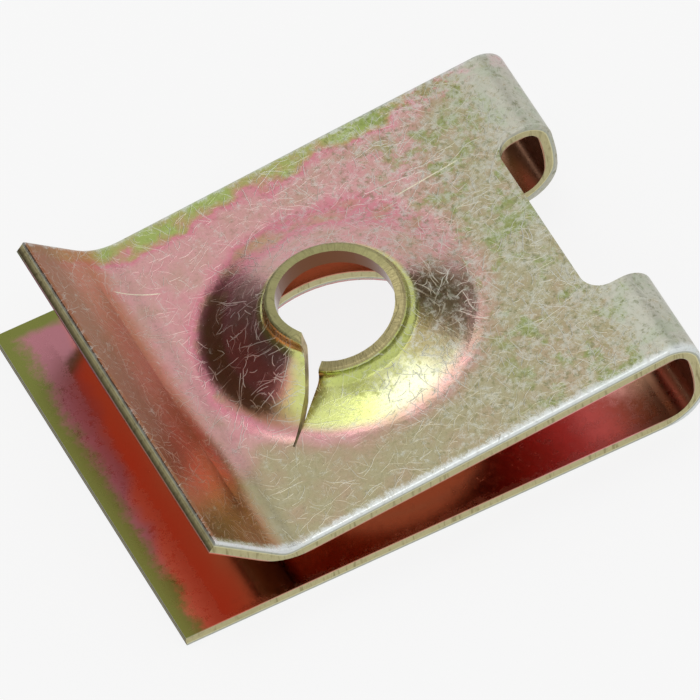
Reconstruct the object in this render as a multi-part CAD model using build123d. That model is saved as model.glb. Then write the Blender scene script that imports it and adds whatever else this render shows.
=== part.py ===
from build123d import *
from build123d.topology import SkipClean
import os
from math import atan2, cos, radians, sin, tan

# U clip speed nut: one strip of spring steel, folded to a U, whose upper leg carries a raised
# boss with a helical rim that a sheet metal screw climbs like a thread.
# Origin: centre of the clearance hole, on the underside of the lower leg.
# +X runs towards the bend, +Z up through the boss.

# Strip
thickness = 0.5
width = 15.0
rollover = 0.1               # rounding that shearing leaves on the edges of the outer face

# Legs
lower_reach = 10.15          # from the hole's centre to the square end of the lower leg
screw_gap = 2.03             # clear gap between the legs at the screw axis
leg_angle = 5.4              # the upper leg closes towards the open end by this much
clearance_radius = 4.1       # hole that the screw passes through in the lower leg

# Bend, as the inner face of the strip sees it
wall_foot_x = 9.08
wall_bulge_x = 9.2
wall_bulge_z = 1.85
wall_head_x = 9.04
foot_bend_radius = 0.95
bulge_radius = 5.0
head_bend_radius = 0.5

# Lip that leads the clip onto a panel
lip_corner_x = -6.25
lip_end_x = -8.83
lip_angle = 42.0
lip_bend_radius = 2.5

# Window through the bend, which leaves a spring ear on each side
window_x = 7.36
window_width = 7.5
window_corner = 0.8

# Boss, in the plane of the upper leg's top face
boss_x = -0.27
core_radius = 2.0            # the screw's core passes through the rim
collar_radius = 2.42         # outside of the collar that stands round the rim
boss_foot_radius = 4.78
boss_patch_radius = 5.25     # the slit stops here, where the flat leg begins
collar_height = 0.42
collar_blend_radius = 0.35
collar_hollow_radius = 0.75  # the same blend on the underside of the sheet
foot_blend_radius = 1.5
rim_rounding = 0.15          # the outer shoulder of the rim

# Thread rim
pitch = 1.6                  # climb of the rim in one turn, right-handed
rim_start = 0.5              # rim above the leg where the turn begins
tip_dip = 0.35               # the free corner of the high flange hangs back by this much
tip_dip_turn = 26.0          # over these last degrees of the turn

# Slit between the two ends of the turn
slit_angle = -135.0          # its direction, seen from above
slit_half_angle = 0.5
gap_angle = 24.0             # it opens to a V, this wide at half the core's radius
gap_reach = 3.7              # and closes to a line at this radius
gap_lean = 8.0               # its high side stands square on the climbing sheet, not upright

# How the boss is made
section_count = 19           # radial sections that its sheet is lofted through
sector_count = 8             # slices that it is joined to the leg in
section_margin = 0.5         # the sections overrun the patch by this much
bore_margin = 0.15           # and the core's wall by this much, before both are cut true
cutter_height = 8.0          # taller than all that stands on the leg


def leg_underside(x):
    """Height of the upper leg's underside above the floor."""
    return thickness + screw_gap + (x - boss_x) * tan(radians(leg_angle))


def inner_face_line():
    """The face of the strip that looks into the clip, drawn along the strip in the XZ plane."""
    lip_rise = (lip_corner_x - lip_end_x) * tan(radians(lip_angle))
    return FilletPolyline(
        (-lower_reach, thickness),
        (wall_foot_x, thickness),
        (wall_bulge_x, wall_bulge_z),
        (wall_head_x, leg_underside(wall_head_x)),
        (lip_corner_x, leg_underside(lip_corner_x)),
        (lip_end_x, leg_underside(lip_corner_x) + lip_rise),
        radius=[foot_bend_radius, bulge_radius, head_bend_radius, lip_bend_radius],
    )


def folded_strip():
    """The strip folded along its length, with the edges of its outer face rounded."""
    inner_line = inner_face_line()
    profile = Plane.XZ * make_face(offset(inner_line, thickness, side=Side.RIGHT).edges())
    strip = extrude(profile, width / 2, both=True)
    seen_from_side = Plane.XZ * inner_line

    def on_outer_face(edge):
        middle = edge @ 0.5
        return seen_from_side.distance_to(Vertex(middle.X, 0, middle.Z)) > thickness - rollover

    return fillet(strip.edges().filter_by(on_outer_face), rollover)


def bend_window():
    """The opening through the bend, a rounded rectangle in plan that runs out past the bend."""
    plan = Pos(window_x + width / 2, 0) * RectangleRounded(width, window_width, window_corner)
    return extrude(plan, width, both=True)


def rim_height(turned):
    """Height of the rim above the leg after this many degrees of the turn."""
    into_tip = max(0.0, turned - (360 - tip_dip_turn)) / tip_dip_turn
    return rim_start + pitch * turned / 360 - tip_dip * into_tip**2


def boss_section(turned):
    """Radial section of the boss's sheet: flat, foot, cone, collar, in the (radius, height) plane."""
    rim = rim_height(turned)
    cone_top = rim - collar_height
    far_end = boss_patch_radius + section_margin
    bore = core_radius - bore_margin
    slope = atan2(cone_top, boss_foot_radius - collar_radius)
    cone_drop = thickness / cos(slope)
    foot_shift = thickness * tan(slope / 2)
    top_face = FilletPolyline(
        (far_end, 0),
        (boss_foot_radius, 0),
        (collar_radius, cone_top),
        (collar_radius, rim),
        (bore, rim),
        radius=[foot_blend_radius, collar_blend_radius, rim_rounding],
    )
    underside = FilletPolyline(
        (bore, rim),
        (bore, cone_top - cone_drop + (collar_radius - bore) * tan(slope)),
        (boss_foot_radius - foot_shift, -thickness),
        (far_end, -thickness),
        radius=[collar_hollow_radius, foot_blend_radius + thickness],
    )
    far_side = Line(underside @ 1, top_face @ 0)
    return make_face(top_face.edges() + underside.edges() + far_side.edges())


def boss():
    """The raised boss, lofted round its axis through sections whose rim climbs one pitch."""
    sections = []
    for i in range(section_count):
        turned = slit_half_angle + (360 - 2 * slit_half_angle) * i / (section_count - 1)
        stand_up = Plane.XZ.rotated((0, 0, slit_angle + turned))
        sections.append(stand_up * boss_section(turned))
    patch = Cylinder(boss_patch_radius, cutter_height) - Cylinder(core_radius, cutter_height)
    return loft(sections) & patch


def boss_plane():
    """The upper leg's top face, with its origin on the screw axis and X running up the leg."""
    tilt = radians(leg_angle)
    top = leg_underside(boss_x) + thickness / cos(tilt)
    up_the_leg = (cos(tilt), 0, sin(tilt))
    along_screw = (-sin(tilt), 0, cos(tilt))
    return Plane(origin=(boss_x, 0, top), x_dir=up_the_leg, z_dir=along_screw)


def gap_at_rim():
    """Wedge that opens the slit to a V on the side of the high flange, whose cut face leans back."""
    mouth = core_radius / 2
    low_side = (mouth * cos(radians(slit_half_angle)), mouth * sin(radians(slit_half_angle)))
    levels = []
    for height in (-2 * thickness, 2 * pitch):
        lean = height * tan(radians(gap_lean))
        high_side = (mouth * cos(radians(gap_angle)), -mouth * sin(radians(gap_angle)) - lean)
        plan = make_face(Polyline(low_side, (gap_reach, 0), high_side, close=True))
        levels.append(Pos(0, 0, height) * plan)
    return Rot(0, 0, slit_angle) * loft(levels, ruled=True)


def sector(number):
    """One of the equal slices that the boss is divided into round its axis, from the slit on."""
    turn = 360 / sector_count
    about_axis = (Align.NONE, Align.NONE, Align.CENTER)
    piece = Cylinder(2 * boss_patch_radius, 2 * cutter_height, arc_size=turn, align=about_axis)
    return Rot(0, 0, slit_angle + number * turn) * piece


# Both cutters below are shorter than the gap to the other leg, so each meets one leg only.
clip = folded_strip() - bend_window()
clip -= Cylinder(clearance_radius, screw_gap)
clip -= boss_plane() * Cylinder(boss_patch_radius, screw_gap)

# The slices stay uncleaned, so that the rim's wall keeps a face of its own for each of them.
raised = boss()
with SkipClean():
    for number in range(sector_count):
        clip += boss_plane() * (raised & sector(number))
    clip -= boss_plane() * gap_at_rim()

os.makedirs("parts", exist_ok=True)
export_step(clip.solid(), "parts/clip.step")
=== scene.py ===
# %% [markdown]
# # A U clip speed nut in passivated spring steel
# The real object is one strip of spring steel, folded into a U, with a
# raised and slit thread rim on one leg. The construction gives it at its
# real size as one solid, so this lesson leaves the shape alone and is about
# the finish: a thin, coloured passivation over zinc, rubbed and scratched in
# the barrel where thousands of clips are plated together.

from math import cos, pi, radians, sin, tan

import bmesh
import bpy
from mathutils import Matrix, Vector

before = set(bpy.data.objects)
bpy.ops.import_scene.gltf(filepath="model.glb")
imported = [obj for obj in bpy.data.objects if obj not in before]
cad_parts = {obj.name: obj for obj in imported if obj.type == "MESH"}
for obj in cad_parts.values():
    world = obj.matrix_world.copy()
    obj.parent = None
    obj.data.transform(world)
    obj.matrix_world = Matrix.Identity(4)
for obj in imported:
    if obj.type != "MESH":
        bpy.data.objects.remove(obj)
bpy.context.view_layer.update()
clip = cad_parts["clip"]


# %% [markdown]
# ## Shader maths that reads like maths
# A finish is mostly arithmetic on places: how far from the screw, how deep
# in the cut edge, how near the fold. A Wire wraps one socket, and the usual
# operators on it add the Math nodes, so a mask is written as an expression.

# %% One wire of a shader
class Wire:
    """The output of a node, which takes the usual operators."""

    def __init__(self, finish, socket):
        self.finish = finish
        self.socket = socket

    def math(self, operation, *others):
        inputs = dict(enumerate((self, *others)))
        return self.finish.node("ShaderNodeMath", {"operation": operation}, inputs)

    def after(self, operation, first):
        return self.finish.node("ShaderNodeMath", {"operation": operation}, {0: first, 1: self})

    def __add__(self, other):
        return self.math("ADD", other)

    def __sub__(self, other):
        return self.math("SUBTRACT", other)

    def __mul__(self, other):
        return self.math("MULTIPLY", other)

    def __truediv__(self, other):
        return self.math("DIVIDE", other)

    def __rsub__(self, other):
        return self.after("SUBTRACT", other)

    def __abs__(self):
        return self.math("ABSOLUTE")

    __radd__ = __add__
    __rmul__ = __mul__


# %% [markdown]
# NodeTree holds the nodes of a material or of the world. Its `node` method
# makes any node: first the settings, which may change the sockets, then the
# values and the links. A Finish is the tree of one material.

# %% A tree of nodes, and a material
class NodeTree:
    """A tree of nodes, and the one way in which nodes are added to it."""

    def __init__(self, tree):
        self.nodes = tree.nodes
        self.links = tree.links

    def node(self, kind, settings=None, inputs=None, output=0):
        made = self.nodes.new(kind)
        for name, value in (settings or {}).items():
            if name == "stops":
                set_stops(made.color_ramp, value)
            else:
                setattr(made, name, value)
        for key, value in (inputs or {}).items():
            self.feed(made.inputs[key], value)
        if isinstance(output, tuple):
            return [Wire(self, made.outputs[key]) for key in output]
        return Wire(self, made.outputs[output])

    def feed(self, socket, value):
        if isinstance(value, Wire):
            self.links.new(value.socket, socket)
        else:
            socket.default_value = value


class Finish(NodeTree):
    """A material and its nodes."""

    def __init__(self, name):
        self.material = bpy.data.materials.new(name)
        self.material.use_nodes = True
        super().__init__(self.material.node_tree)
        self.shader = self.nodes["Principled BSDF"]


def set_stops(ramp, stops):
    while len(ramp.elements) < len(stops):
        ramp.elements.new(1.0)
    for element, (position, colour) in zip(ramp.elements, stops):
        element.position = position
        element.color = colour


steel = Finish("passivated_spring_steel")

# %% [markdown]
# Colours are written as the red, green and blue of a colour picker, and
# turned into the linear values that light is worked out with.

# %% Colours and soft steps
def tint(red, green, blue):
    def linear(part):
        part /= 255
        return part / 12.92 if part <= 0.04045 else ((part + 0.055) / 1.055) ** 2.4

    return (linear(red), linear(green), linear(blue), 1.0)


def soft_step(value, start, end, low=0.0, high=1.0):
    """low up to start, high from end on, smooth between; start may be the larger."""
    return steel.node(
        "ShaderNodeMapRange",
        {"interpolation_type": "SMOOTHSTEP"},
        {"Value": value, "From Min": start, "From Max": end, "To Min": low, "To Max": high},
    )


def over(under, colour, mask):
    """Lays a colour over another one where the mask is 1."""
    return steel.node(
        "ShaderNodeMix",
        {"data_type": "RGBA", "clamp_factor": True},
        {"Factor": mask, 6: under, 7: colour},
        output=2,
    )


def either(first, second):
    return first.math("MAXIMUM", second)


# %% [markdown]
# ## Where on the clip is this point?
# The pattern follows the sheet, so the shader needs the place in
# millimetres, and the direction that the surface faces.

# %% Places in millimetres
metres, facing = steel.node("ShaderNodeTexCoord", output=("Object", "Normal"))


def vector(operation, *inputs, output=0, **named):
    inputs = {**dict(enumerate(inputs)), **named}
    return steel.node("ShaderNodeVectorMath", {"operation": operation}, inputs, output)


def split(wire):
    return steel.node("ShaderNodeSeparateXYZ", {}, {0: wire}, output=(0, 1, 2))


def join(x, y, z=0.0):
    return steel.node("ShaderNodeCombineXYZ", {}, {0: x, 1: y, 2: z})


place = vector("SCALE", metres, Scale=1000.0)
x, y, z = split(place)
face_x, face_y, face_z = split(facing)

# %% [markdown]
# The sheet is 0.5 mm thick. The upper leg slopes, and the screw stands
# square on it, so the raised rim is measured in the leg's own directions.

# %% The leg and its screw
THICKNESS = 0.5
SCREW_GAP = 2.03
LEG_SLOPE = radians(5.4)
SCREW_X = -0.27
RIM_RADIUS = 2.0
COLLAR_RADIUS = 2.42
FOOT_RADIUS = 4.78

above_underside = (z - (x - SCREW_X) * tan(LEG_SLOPE) - (THICKNESS + SCREW_GAP)) * cos(LEG_SLOPE)
above_leg = above_underside - THICKNESS
leg_top = THICKNESS + SCREW_GAP + THICKNESS
along_leg = (x - SCREW_X) * cos(LEG_SLOPE) + (z - leg_top) * sin(LEG_SLOPE)
from_screw = vector("LENGTH", join(along_leg, y), output="Value")
upper = soft_step(z, 1.6, 1.8)
on_boss = soft_step(from_screw, FOOT_RADIUS + 0.5, FOOT_RADIUS + 0.1) * upper


def boss_side(degrees, ends, full):
    """1 on the side of the boss that looks this way in plan, 0 from `ends` degrees off it."""
    towards = (along_leg * cos(radians(degrees)) + y * sin(radians(degrees))) / from_screw
    return soft_step(towards, cos(radians(ends)), cos(radians(full))) * upper

# %% [markdown]
# ## How deep in the sheet?
# Shearing leaves bands on a cut edge, so the edge needs a depth: 0 on the
# face that looks into the clip, 0.5 mm on the outer face. Both legs and the
# lip are planes and the wall is a wide arc. A fold between two of them is
# rounded by adding their distances as the sides of a right angle.

# %% Depth from the inner face
LIP_CORNER_X = -6.25
LIP_ANGLE = radians(42.0)
LIP_CORNER_Z = THICKNESS + SCREW_GAP + (LIP_CORNER_X - SCREW_X) * tan(LEG_SLOPE)
WALL_CENTRE = (4.18, 1.9)
WALL_RADIUS = 5.0


def fold(first, second, radius):
    """Distance outside a fold of this radius between two faces."""
    sides = join((first + radius).math("MAXIMUM", 0.0), (second + radius).math("MAXIMUM", 0.0))
    return vector("LENGTH", sides, output="Value") - radius


above_lip = (z - LIP_CORNER_Z + (x - LIP_CORNER_X) * tan(LIP_ANGLE)) * cos(LIP_ANGLE)
above_both = above_underside.math("SMOOTH_MIN", above_lip, 0.4)
from_centre = join((x - WALL_CENTRE[0]).math("MAXIMUM", 0.0), z - WALL_CENTRE[1])
outside_wall = vector("LENGTH", from_centre, output="Value") - WALL_RADIUS
depth = either(fold(above_both, outside_wall, 0.5), fold(THICKNESS - z, outside_wall, 0.95))

# %% [markdown]
# ## Which kind of surface is it?
# Four kinds differ on the real clip: the outer face, which rubs on other
# clips, the inner face, which nothing touches, the cut edges, and the thread
# rim, whose edge and slit were sheared and drawn.

# %% Outer, inner, cut edge and rim
in_sheet = soft_step(depth, 0.03, 0.07) * soft_step(depth, 0.44, 0.40)
across_strip = either(soft_step(abs(face_y), 0.4, 0.7), soft_step(x, 8.0, 7.8))
cut_edge = in_sheet * across_strip * (1 - on_boss)
faces_inwards = soft_step(depth, 0.25, 0.2) * (1 - on_boss)
along_screw = face_z * cos(LEG_SLOPE) - face_x * sin(LEG_SLOPE)
on_rim = soft_step(from_screw, COLLAR_RADIUS + 0.08, COLLAR_RADIUS + 0.02) * upper
rim_edge = on_rim * soft_step(along_screw, 0.6, 0.8)
under_boss = soft_step(along_screw, -0.05, -0.2) * on_boss
in_rim = soft_step(from_screw, RIM_RADIUS + 0.06, RIM_RADIUS + 0.03) * upper
bore = in_rim * soft_step(abs(along_screw), 0.5, 0.3)
inner = either(either(faces_inwards, under_boss), bore) * (1 - cut_edge)

# %% [markdown]
# The slit's two faces look along its side, and lie beside its line.

# %% The slit
SLIT_ANGLE = radians(-135.0)
out_along_slit = along_leg * cos(SLIT_ANGLE) + y * sin(SLIT_ANGLE)
beside_slit = along_leg * -sin(SLIT_ANGLE) + y * cos(SLIT_ANGLE)
faces_slit = abs(face_x * -sin(SLIT_ANGLE) + face_y * cos(SLIT_ANGLE))
near_slit = soft_step(abs(beside_slit), 0.75, 0.6) * soft_step(out_along_slit, 1.5, 1.9)
slit_face = near_slit * soft_step(faces_slit, 0.72, 0.86) * on_boss

# %% [markdown]
# ## The colours of the passivation
# Passivation is a film of chromate so thin that light interferes in it. As
# the film thickens, the colour goes from silver through straw and rose to
# green. One number stands for the thickness, and one ramp for the colours.

# %% The ramp of film colours
def clouds(per_mm, seed=0.0, detail=3.0, grain=0.5, where=None):
    """Soft noise, 0.5 on average, with this many lumps to the millimetre."""
    inputs = {"Vector": where or place, "W": seed, "Scale": per_mm}
    inputs.update({"Detail": detail, "Roughness": grain})
    return steel.node("ShaderNodeTexNoise", {"noise_dimensions": "4D"}, inputs)


FILM_COLOURS = [
    (0.00, tint(184, 182, 164)),
    (0.22, tint(163, 155, 122)),
    (0.40, tint(172, 146, 124)),
    (0.58, tint(198, 150, 148)),
    (0.74, tint(200, 126, 138)),
    (0.88, tint(172, 152, 106)),
    (1.00, tint(154, 168, 96)),
]


def film_colour(thickness):
    return steel.node("ShaderNodeValToRGB", {"stops": FILM_COLOURS}, {0: thickness})


# %% [markdown]
# On the outer face the film is thickest along the sheared far edge, where it
# turns green. It is rose round the boss and towards the lip, and thins to
# straw towards the bend and along the near edge. A rose ring round the foot
# of the boss is a painted reflection of the rose leg.

# %% Film on the outer face
ROSE_RING_RADIUS = 4.55
broad = clouds(0.30, seed=3.0) - 0.5
patchy = clouds(1.1, seed=8.0, detail=4.0) - 0.5
speckle = clouds(5.0, seed=12.0, detail=6.0, grain=0.74) - 0.5
past_near_side = soft_step(y + broad * 7.0, -5.6, -1.0)
rose_area = past_near_side * soft_step(x + broad * 6.0 - y * 0.35, 5.4, 1.4)
# A rose ring round the foot of the boss: a painted reflection of the rose leg, laid in as film.
rose_ring_painted_reflection = soft_step(abs(from_screw - ROSE_RING_RADIUS), 1.1, 0.3) * upper
far_edge = soft_step(y + patchy * 1.6, 6.1, 7.2)
outer_film = 0.24 + rose_area * 0.33 + rose_ring_painted_reflection * 0.20 + far_edge * 0.40
outer_film = outer_film + patchy * 0.42 + broad * 0.2
outer_colour = film_colour(outer_film)
green_clouds = clouds(0.9, seed=21.0, detail=7.0, grain=0.68)
green_patch = soft_step(green_clouds, 0.50, 0.60) * soft_step(x, 2.0, 5.0)
outer_colour = over(outer_colour, tint(126, 144, 72), green_patch * 0.7)
# The lip's bend and the lip are painted orange-brown and darker brown: a painted reflection of
# the rose leg, darkened.
lip_bend_painted_reflection = soft_step(x, -5.9, -6.7) * upper
lip = soft_step(x, -7.2, -8.0) * upper
outer_colour = over(outer_colour, tint(166, 92, 52), lip_bend_painted_reflection * 0.78)
outer_colour = over(outer_colour, tint(128, 92, 66), lip * 0.65)

# %% [markdown]
# The punch stretched the steel of the boss, and the film on it differs from
# side to side: straw green on the near flank and on the collar, with a golden
# edge by the lip. The mottled dark olive where the collar rises is painted
# shade, the dark brown on the right flank is a painted reflection of dark
# surroundings, and the red band by the lip is a painted reflection.

# %% Film on the boss
flank = soft_step(from_screw, FOOT_RADIUS - 0.1, FOOT_RADIUS - 0.7) * upper
outer_colour = over(outer_colour, tint(205, 209, 172), boss_side(-92, 58, 36) * flank * 0.9)
outer_colour = over(outer_colour, tint(204, 212, 122), boss_side(-122, 34, 14) * flank * 0.8)
# A red band by the lip: painted reflection.
red_band_painted_reflection = soft_step(abs(from_screw - 3.6), 0.65, 0.2) * boss_side(-174, 36, 16)
golden_band = soft_step(abs(from_screw - 4.4), 0.5, 0.2) * boss_side(178, 55, 25)
outer_colour = over(outer_colour, tint(218, 130, 126), red_band_painted_reflection * 0.85)
outer_colour = over(outer_colour, tint(156, 118, 70), golden_band * 0.7)
mottled = from_screw + patchy * 1.2 + speckle * 2.4
# Mottled dark olive by the collar: the mottles are film, the darkness is painted shade.
collar_painted_shade = soft_step(mottled, 3.6, 2.9) * boss_side(-68, 62, 34)
outer_colour = over(outer_colour, tint(116, 118, 58), collar_painted_shade * 0.8)
# Dark brown on the right flank: a painted reflection of dark surroundings.
right_flank_painted_reflection = soft_step(mottled, 4.6, 3.9) * boss_side(-32, 40, 20)
outer_colour = over(outer_colour, tint(118, 102, 70), right_flank_painted_reflection * 0.75)
collar_wall = soft_step(from_screw, COLLAR_RADIUS + 0.4, COLLAR_RADIUS + 0.15) * upper
outer_colour = over(outer_colour, tint(196, 206, 118), collar_wall * 0.75)

# %% [markdown]
# The inner face is never rubbed, and its film is thick and even: rose, with
# a green strip and a magenta band along the open end. Light bounces between
# the legs, which makes these colours deeper still, and the deeper red
# towards the open end is a painted reflection of that bounce.

# %% Film on the inner face
from_open_end = x + 10.15 + patchy * 0.9 + speckle * 1.1
towards_fold = soft_step(x + broad * 4.0, 2.0, 4.5)
# Deeper red towards the open end: rose film deepened by a painted reflection between the legs.
deep_rose_painted_reflection = soft_step(x + broad * 2.0, -7.0, -8.2)
magenta = soft_step(x + broad * 2.5 - y * 0.12, -8.5, -9.2)
in_fold = soft_step(x, 6.4, 8.2)
inner_colour = over(tint(190, 132, 106), tint(214, 142, 138), towards_fold)
inner_colour = over(inner_colour, tint(196, 108, 84), deep_rose_painted_reflection)
inner_colour = over(inner_colour, tint(166, 110, 118), magenta)
inner_colour = over(inner_colour, tint(146, 114, 80), in_fold * 0.8)
open_end = soft_step(from_open_end, 0.95, 0.3) * (1 - upper)
far_strip = soft_step(y + patchy, 6.7, 7.2)
inner_colour = over(inner_colour, tint(114, 118, 60), either(open_end, far_strip))
inner_colour = over(inner_colour, tint(104, 66, 42), bore * 0.95)

# %% [markdown]
# ## Wear from the barrel
# Plated clips tumble on each other. That leaves hair scratches, each short
# and slightly curled. A Voronoi pattern gives every cell a heart and three
# chance numbers: they turn the cell, curl its one hair and make it faint.
# The pattern is laid out flat round the bend, so hairs don't smear there.

# %% Hair scratches
unrolled = join(x - above_leg * (1 - on_boss), y)
waver = steel.node(
    "ShaderNodeTexNoise",
    {},
    {"Vector": unrolled, "Scale": 1.3, "Detail": 1.0},
    output="Color",
)
sway = vector("SCALE", vector("SUBTRACT", waver, (0.5, 0.5, 0.5)), Scale=0.3)
wavy = vector("ADD", unrolled, sway)


def hairs(per_mm, half_width, curliness, seed):
    """One hair in each cell of a loose pattern with this many cells to the millimetre."""
    here = vector("ADD", wavy, (7.3 * seed, 3.1 * seed, 0.0))
    chance, heart = steel.node(
        "ShaderNodeTexVoronoi",
        {"voronoi_dimensions": "2D"},
        {"Vector": here, "Scale": per_mm},
        output=("Color", "Position"),
    )
    turn, curl, faint = split(chance)
    from_heart = vector("SUBTRACT", here, heart)
    turned = steel.node(
        "ShaderNodeVectorRotate",
        {"rotation_type": "Z_AXIS"},
        {"Vector": from_heart, "Angle": turn * (2 * pi)},
    )
    along, across, _ = split(turned)
    off_line = abs(across + along * along * (curl - 0.5) * (curliness * per_mm))
    length = soft_step(abs(along), 0.48 / per_mm, 0.34 / per_mm)
    line = soft_step(off_line, half_width, 0.35 * half_width)
    return line * length * soft_step(faint, 0.1, 0.9, low=0.1)


# Cells to the millimetre, half width in millimetres, curliness.
HAIR_LAYERS = [
    (0.38, 0.020, 0.3),
    (0.5, 0.018, 0.9),
    (0.65, 0.021, 0.2),
    (0.8, 0.017, 1.6),
    (1.0, 0.019, 0.5),
    (1.4, 0.018, 2.0),
    (1.9, 0.017, 0.8),
    (2.6, 0.016, 2.2),
]
scratched = None
for seed, (per_mm, half_width, curliness) in enumerate(HAIR_LAYERS):
    layer = hairs(per_mm, half_width, curliness, seed + 1)
    scratched = either(scratched, layer) if scratched else layer
print("hair scratches come in", len(HAIR_LAYERS), "layers")

# %% [markdown]
# A few deeper scratches are told apart by eye on any worn part, so they are
# given one by one, each as a segment from one point to another.

# %% Single scratches
def scratch(start, end, half_width):
    """A straight scratch on the upper leg, between two places in plan."""
    start, end = Vector(start), Vector(end)
    middle, half = (start + end) / 2, (end - start) / 2
    way = half.normalized()
    along = (x - middle.x) * way.x + (y - middle.y) * way.y
    across = (y - middle.y) * way.x - (x - middle.x) * way.y
    ends = soft_step(abs(along), half.length, 0.8 * half.length)
    return soft_step(abs(across), half_width, 0.3 * half_width) * ends * upper


deep_scratches = either(
    scratch((3.6, 3.7), (6.2, 3.85), 0.035),
    scratch((-6.4, 5.4), (-4.9, 4.6), 0.03),
)

# %% [markdown]
# The barrel also rubs the film thin in patches, most of all on the ears and
# along the edges, where the clip is bare silver grey. The bluish white line
# along the edges is partly this wear and partly a painted highlight.

# %% Rubbed patches
rub_grain = clouds(3.4, seed=5.0, detail=7.0, grain=0.74)
ears = soft_step(x, 6.8, 8.6)
near_line = soft_step(rub_grain * 0.5 - y, 7.35, 7.72)
far_line = soft_step(rub_grain * 0.5 + y, 7.5, 7.8) * 0.6
edge_wear_and_highlight = either(near_line, far_line)
lip_line = soft_step(x - rub_grain * 0.3, -8.62, -8.88)
towards_bend = soft_step(x, -5.0, 6.5, high=0.10)
rub_level = rub_grain + towards_bend + ears * 0.16 + edge_wear_and_highlight * 0.2 + lip_line * 0.25
rubbed = soft_step(rub_level, 0.52, 0.76)
dull_specks = soft_step(speckle, 0.01, 0.13) * soft_step(x, -4.0, 4.0, low=0.25)

# %% [markdown]
# The hairs lie in loose drifts, denser towards the bend and on the flank of
# the boss that faces the lip.

# %% Where the hairs show
wear_area = soft_step(clouds(0.55, seed=31.0), 0.36, 0.56, low=0.35)
wear_area = wear_area * soft_step(x, -7.0, 3.0, low=0.55)
wear_area = either(wear_area, boss_side(176, 62, 34) * flank)
hair_wear = scratched * wear_area * (1 - inner) * (1 - cut_edge)

# %% [markdown]
# ## Sheared edges
# A shear burnishes the first part of a cut and tears the rest. Next to the
# outer face the edge is smooth and grey, and the torn part is rough, straw
# yellow, and lined across the sheet. Where the two meet, a thin bright line
# is a painted highlight.

# %% Bands and lines of the cut edge
LINES_PER_MM = 9.0
across_lines = vector("MULTIPLY", place, (LINES_PER_MM, LINES_PER_MM, 1.2))
edge_lines = clouds(1.0, seed=2.0, detail=2.0, where=across_lines)
torn = soft_step(depth + (edge_lines - 0.5) * 0.12, 0.36, 0.30)
cut_colour = over(tint(178, 180, 166), tint(188, 180, 138), torn)
cut_colour = over(cut_colour, tint(120, 108, 66), torn * soft_step(edge_lines, 0.52, 0.68) * 0.55)
# The bright line where the two bands meet: painted highlight.
parting_highlight = soft_step(abs(depth - 0.33), 0.03, 0.01)
cut_colour = over(cut_colour, tint(226, 220, 170), parting_highlight * 0.6)

# %% The ends of the strip, painted darker
at_ends = soft_step(x, -8.6, -8.8) * soft_step(abs(face_y), 0.5, 0.3)
# The end faces are cut steel like the sides, painted darker as a reflection of the dark card
# beside them, and the lower leg's end darker still as painted shade.
end_painted_dark_colour = over(tint(94, 82, 52), tint(60, 50, 30), (1 - upper) * 0.7)
end_painted_dark_colour = over(end_painted_dark_colour, tint(66, 54, 32), soft_step(edge_lines, 0.45, 0.6) * 0.7)
# The same bright line on the ends: painted highlight.
parting_highlight = soft_step(abs(depth - 0.24), 0.035, 0.012)
end_painted_dark_colour = over(end_painted_dark_colour, tint(190, 184, 116), parting_highlight * 0.8)
cut_colour = over(cut_colour, end_painted_dark_colour, at_ends)

# %% [markdown]
# The rim was cut by a round punch and then drawn up, so its edge is torn in
# fine lines that point at the screw.

# %% The rim's edge
turn_about_screw = y.math("ARCTAN2", along_leg)
round_rim = join(turn_about_screw * 48.0, from_screw * 1.5)
rim_lines = clouds(1.0, seed=4.0, detail=3.0, where=round_rim)
near_right = soft_step(y - along_leg * 0.5, 0.2, -1.4)
rim_colour = over(tint(150, 146, 102), tint(162, 152, 110), near_right)
rim_colour = over(rim_colour, tint(100, 92, 60), soft_step(rim_lines, 0.46, 0.62) * 0.28)
slit_tears = soft_step(clouds(2.0, seed=6.0), 0.42, 0.6)
slit_colour = over(tint(196, 180, 132), tint(116, 92, 58), slit_tears * 0.6)

# %% [markdown]
# ## Everything together
# Each kind of surface is laid over the outer face by its mask. The fine
# grain of zinc crystals shows in all of them.

# %% Base colour
grain = clouds(9.0, seed=1.0, detail=4.0, grain=0.7)
base = over(outer_colour, tint(192, 195, 187), rubbed * 0.65)
base = over(base, tint(98, 104, 62), dull_specks * 0.55)
# Bluish white along the edges: rubbed film, brightened as a painted highlight.
base = over(base, tint(226, 232, 234), edge_wear_and_highlight * 0.72)
base = over(base, tint(190, 196, 198), lip_line * 0.7)
base = over(base, tint(210, 210, 200), hair_wear * 0.75)
base = over(base, tint(222, 216, 190), deep_scratches * 0.8)
base = over(base, inner_colour, inner)
base = over(base, cut_colour, cut_edge)
base = over(base, rim_colour, rim_edge)
base = over(base, slit_colour, slit_face)
base = over(base, tint(96, 92, 70), soft_step(grain, 0.52, 0.74) * (1 - inner) * 0.35)
steel.feed(steel.shader.inputs["Base Color"], base)

# %% [markdown]
# Scratched and rubbed metal scatters light more than the smooth film does,
# and the untouched inner face is almost a mirror.

# %% Roughness and relief
roughness = 0.2 + rubbed * 0.16 + hair_wear * 0.3 + (grain - 0.5) * 0.12 - inner * 0.06
roughness = roughness + either(cut_edge, either(rim_edge, slit_face)) * 0.16
steel.feed(steel.shader.inputs["Roughness"], roughness)
steel.shader.inputs["Metallic"].default_value = 1.0

relief = (grain - 0.5) * 0.5 + hair_wear * 0.5 + rub_grain * 0.4
relief = relief * (1 - inner) + edge_lines * cut_edge * 1.5 + rim_lines * rim_edge * 2.0
bumpy = steel.node(
    "ShaderNodeBump",
    {},
    {"Strength": 0.6, "Distance": 0.000012, "Height": relief},
)
steel.feed(steel.shader.inputs["Normal"], bumpy)

# %% Put the finish on the clip
for slot in clip.material_slots:
    slot.material = steel.material
print("the finish has", len(steel.nodes), "nodes")

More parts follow.
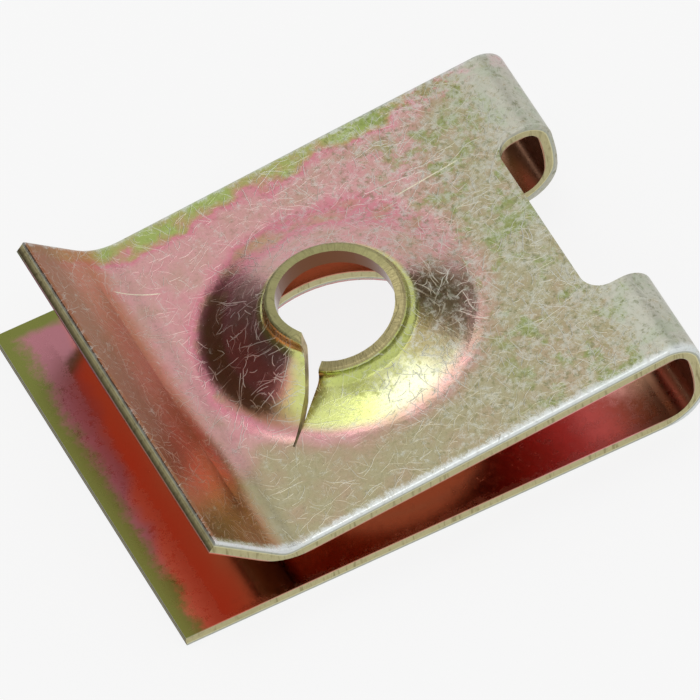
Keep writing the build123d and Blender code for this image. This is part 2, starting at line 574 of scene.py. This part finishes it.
# %% [markdown]
# ## The studio floor
# A plain white floor. The camera and the metal see it as white paper, and a
# part of it stays a lit surface, so that the clip's soft shadow is kept.

# %% Floor
FLOOR_SIDE = 4.0
FLOOR_DROP = 0.00002
PAPER_GLOW = 0.85
sheet = bmesh.new()
bmesh.ops.create_grid(sheet, x_segments=1, y_segments=1, size=FLOOR_SIDE / 2)
bmesh.ops.translate(sheet, verts=sheet.verts, vec=(0, 0, -FLOOR_DROP))
floor_mesh = bpy.data.meshes.new("studio_floor")
sheet.to_mesh(floor_mesh)
sheet.free()
floor = bpy.data.objects.new("studio_floor", floor_mesh)
bpy.context.scene.collection.objects.link(floor)

paper = Finish("floor_paper")
paper.shader.inputs["Base Color"].default_value = (0.8, 0.8, 0.8, 1.0)
paper.shader.inputs["Roughness"].default_value = 0.9


def seen_rays(finish):
    """1 for the rays that should find a white background."""
    camera, glossy, through = finish.node(
        "ShaderNodeLightPath", output=("Is Camera Ray", "Is Glossy Ray", "Is Transmission Ray")
    )
    return camera.math("MAXIMUM", glossy).math("MAXIMUM", through)


glow = paper.node("ShaderNodeEmission", {}, {"Strength": 1.0})
paper_look = paper.node(
    "ShaderNodeMixShader",
    {},
    {0: seen_rays(paper) * PAPER_GLOW, 1: Wire(paper, paper.shader.outputs[0]), 2: glow},
)
paper.feed(paper.nodes["Material Output"].inputs["Surface"], paper_look)
floor_mesh.materials.append(paper.material)

# %% [markdown]
# ## The room
# The world is white for the camera and for reflections, and softer as a
# light. Metal needs something dark to reflect, or it looks like paint, so
# dark cards stand round the clip, as beside any studio table. They are seen
# in reflections only.

# %% World
WORLD_LIGHT = 0.6
world = bpy.data.worlds.new("studio")
world.use_nodes = True
bpy.context.scene.world = world
sky = NodeTree(world.node_tree)
backdrop = sky.nodes["Background"]
backdrop.inputs["Color"].default_value = (1.0, 1.0, 1.0, 1.0)
sky.feed(backdrop.inputs["Strength"], seen_rays(sky) * (1.0 - WORLD_LIGHT) + WORLD_LIGHT)

# %% Dark cards
CARD_DISTANCE = 0.45
card_cloth = Finish("card_cloth")
card_cloth.shader.inputs["Base Color"].default_value = (0.15, 0.11, 0.09, 1.0)
card_cloth.shader.inputs["Roughness"].default_value = 1.0


def dark_card(name, first_azimuth, last_azimuth, low, high):
    """A curved card round the clip. Angles in degrees, azimuth from +X towards +Y."""
    card = bmesh.new()
    foot = card.verts.new((CARD_DISTANCE, 0, CARD_DISTANCE * tan(radians(low))))
    head = card.verts.new((CARD_DISTANCE, 0, CARD_DISTANCE * tan(radians(high))))
    upright = card.edges.new((foot, head))
    to_first = Matrix.Rotation(radians(first_azimuth), 3, "Z")
    bmesh.ops.rotate(card, verts=card.verts, matrix=to_first)
    bmesh.ops.spin(
        card,
        geom=[foot, head, upright],
        axis=(0, 0, 1),
        cent=(0, 0, 0),
        angle=radians(last_azimuth - first_azimuth),
        steps=16,
    )
    mesh = bpy.data.meshes.new(name)
    card.to_mesh(mesh)
    card.free()
    mesh.materials.append(card_cloth.material)
    piece = bpy.data.objects.new(name, mesh)
    bpy.context.scene.collection.objects.link(piece)
    piece.visible_camera = False
    piece.visible_diffuse = False
    piece.visible_shadow = False


dark_card("card_left", 95, 168, 1, 48)
dark_card("card_left_end", 168, 184, 18, 40)
dark_card("card_right", 6, 50, 43, 67)

# %% [markdown]
# One soft box hangs overhead. The flat of the leg just misses it, while the
# near side of the boss and the rolled edges catch it and shine.

# %% Soft box
lamp_data = bpy.data.lights.new("soft_box", "AREA")
lamp_data.shape = "RECTANGLE"
lamp_data.size = 0.18
lamp_data.size_y = 0.18
lamp_data.energy = 0.155
lamp = bpy.data.objects.new("soft_box", lamp_data)
bpy.context.scene.collection.objects.link(lamp)
LAMP_DISTANCE = 0.4
lamp_azimuth, lamp_elevation = radians(84.0), radians(76.0)
lamp_ground = LAMP_DISTANCE * cos(lamp_elevation)
lamp_height = LAMP_DISTANCE * sin(lamp_elevation)
lamp.location = (lamp_ground * cos(lamp_azimuth), lamp_ground * sin(lamp_azimuth), lamp_height)
lamp.rotation_euler = (-lamp.location).to_track_quat("-Z", "Y").to_euler()

# %% [markdown]
# ## The camera
# A long lens from half a metre, above the near left corner, rolled a little.

# %% Camera
AZIMUTH = radians(19.15)
ELEVATION = radians(51.256)
ROLL = radians(-9.124)
DISTANCE = 0.5
AIM = Vector((0.000069, 0.000644, 0.000577))
camera_data = bpy.data.cameras.new("camera")
camera_data.sensor_width = 36.0
camera_data.lens = 755.7
camera_data.clip_start = 0.01
camera_data.clip_end = 10.0
camera = bpy.data.objects.new("camera", camera_data)
bpy.context.scene.collection.objects.link(camera)
turn = Matrix.Rotation(-AZIMUTH, 4, "Z") @ Matrix.Rotation(pi / 2 - ELEVATION, 4, "X")
turn = turn @ Matrix.Rotation(ROLL, 4, "Z")
camera.matrix_world = Matrix.Translation(AIM + turn.to_3x3() @ Vector((0, 0, DISTANCE))) @ turn
bpy.context.scene.camera = camera
bpy.context.scene.view_settings.view_transform = "Standard"
